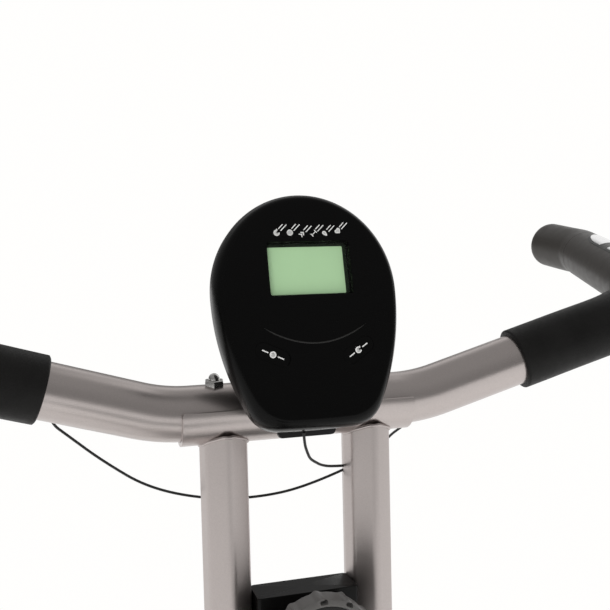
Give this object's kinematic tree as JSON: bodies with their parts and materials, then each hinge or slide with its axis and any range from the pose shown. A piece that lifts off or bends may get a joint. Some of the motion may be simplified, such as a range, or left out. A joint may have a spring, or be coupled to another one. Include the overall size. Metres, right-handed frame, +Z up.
{
  "type": "exercise bike",
  "caption": "Upright air-resistance exercise bike: bladed fan wheel between twin posts, fixed horn bar with a console, chain drive and a height-adjustable saddle.",
  "frame": {"origin": "on the floor, in the middle of the base", "axes": "+Y towards the front of the bike, +Z up, +X to the rider's right"},
  "size_m": [0.64, 0.96, 1.2532],
  "materials": {
    "silver_paint": "satin",
    "black_steel": "satin",
    "bright_steel": "satin",
    "chrome": "polished",
    "foam": "matte",
    "rubber_black": "matte",
    "console_plastic": "satin",
    "black_plastic": "satin",
    "grey_plastic": "satin",
    "lens": "gloss",
    "lcd": "matte",
    "board": "satin",
    "vinyl": "matte",
    "fan_paint": "satin"
  },
  "bodies": {
    "frame": {"base_spine": "silver_paint", "front_stabiliser": "silver_paint", "rear_stabiliser": "silver_paint", "front_end_caps": "black_plastic", "rear_end_caps": "black_plastic", "base_bolts": "bright_steel", "left_post": "silver_paint", "right_post": "silver_paint", "post_foot": "silver_paint", "bar_cradle": "silver_paint", "handlebar": "silver_paint", "foam_grips": "foam", "horn_sleeves": "foam", "pulse_housings": "black_plastic", "pulse_plates": "chrome", "bar_bolts": "bright_steel", "console_bracket": "black_steel", "console_front_shell": "console_plastic", "console_rear_shell": "black_plastic", "console_lens": "lens", "display": "lcd", "console_board": "board", "battery_door": "black_plastic", "tension_box": "black_plastic", "tension_cable": "rubber_black", "brake_caliper": "black_steel", "brake_pads": "rubber_black", "axle_brackets": "silver_paint", "ball_bearings": "bright_steel", "left_guard": "black_steel", "right_guard": "black_steel", "bottom_bracket": "silver_paint", "chain_case": "black_plastic", "drive_chain": "bright_steel", "seat_tube": "silver_paint", "seat_sleeve": "black_plastic", "console_wire": "rubber_black", "left_pulse_wire": "rubber_black", "right_pulse_wire": "rubber_black"},
    "fan": {"fan_wheel": "fan_paint", "fan_blades": "fan_paint", "wheel_axle": "bright_steel", "fan_sprocket": "bright_steel"},
    "cranks": {"crank_axle": "bright_steel", "left_crank": "black_steel", "right_crank": "black_steel", "chainring": "bright_steel"},
    "left_pedal_body": {"left_pedal": "black_plastic"},
    "right_pedal_body": {"right_pedal": "black_plastic"},
    "knob": {"tension_knob": "grey_plastic", "tension_spindle": "bright_steel"},
    "seat": {"seat_post": "chrome", "saddle_clamp": "black_steel", "saddle_shell": "black_plastic", "saddle_cushion": "vinyl"},
    "seat_lock": {"lock_knob": "black_plastic"},
    "mode_key": {"mode_button": "console_plastic"},
    "reset_key": {"reset_button": "console_plastic"},
    "left_roller_body": {"left_roller": "rubber_black"},
    "right_roller_body": {"right_roller": "rubber_black"}
  },
  "joints": [
    {"name": "fan_spin", "type": "hinge", "parent": "frame", "child": "fan", "pos_m": [0, 0.1845, 0.35], "axis": [1, 0, 0], "continuous": true},
    {"name": "crank_spin", "type": "hinge", "parent": "frame", "child": "cranks", "pos_m": [0, -0.13, 0.3], "axis": [1, 0, 0], "continuous": true},
    {"name": "left_pedal_spin", "type": "hinge", "parent": "cranks", "child": "left_pedal_body", "pos_m": [0, -0.295, 0.3], "axis": [1, 0, 0], "continuous": true},
    {"name": "right_pedal_spin", "type": "hinge", "parent": "cranks", "child": "right_pedal_body", "pos_m": [0, 0.035, 0.3], "axis": [1, 0, 0], "continuous": true},
    {"name": "tension_turn", "type": "hinge", "parent": "frame", "child": "knob", "pos_m": [0, 0.21947, 1.00542], "axis": [0, -0.9965, 0.0837], "range_deg": [0, 300]},
    {"name": "seat_height", "type": "slide", "parent": "frame", "child": "seat", "axis": [0, -0.2079, 0.9781], "range_m": [-0.1, 0.08]},
    {"name": "seat_lock_turn", "type": "hinge", "parent": "frame", "child": "seat_lock", "pos_m": [0, -0.27922, 0.51174], "axis": [0, 0.9781, 0.2079], "range_deg": [0, 360]},
    {"name": "mode_press", "type": "slide", "parent": "frame", "child": "mode_key", "axis": [0, 0.9461, -0.3239], "range_m": [0, 0.0008], "stiffness_N_per_m": 600, "springref_m": -0.0006},
    {"name": "reset_press", "type": "slide", "parent": "frame", "child": "reset_key", "axis": [0, 0.9461, -0.3239], "range_m": [0, 0.0008], "stiffness_N_per_m": 600, "springref_m": -0.0006},
    {"name": "left_roller_spin", "type": "hinge", "parent": "frame", "child": "left_roller_body", "pos_m": [0, 0.451, 0.0205], "axis": [1, 0, 0], "continuous": true},
    {"name": "right_roller_spin", "type": "hinge", "parent": "frame", "child": "right_roller_body", "pos_m": [0, 0.451, 0.0205], "axis": [1, 0, 0], "continuous": true}
  ],
  "couplings": [
    {"joint": "crank_spin", "follows": "fan_spin", "ratio": 0.33333}
  ]
}
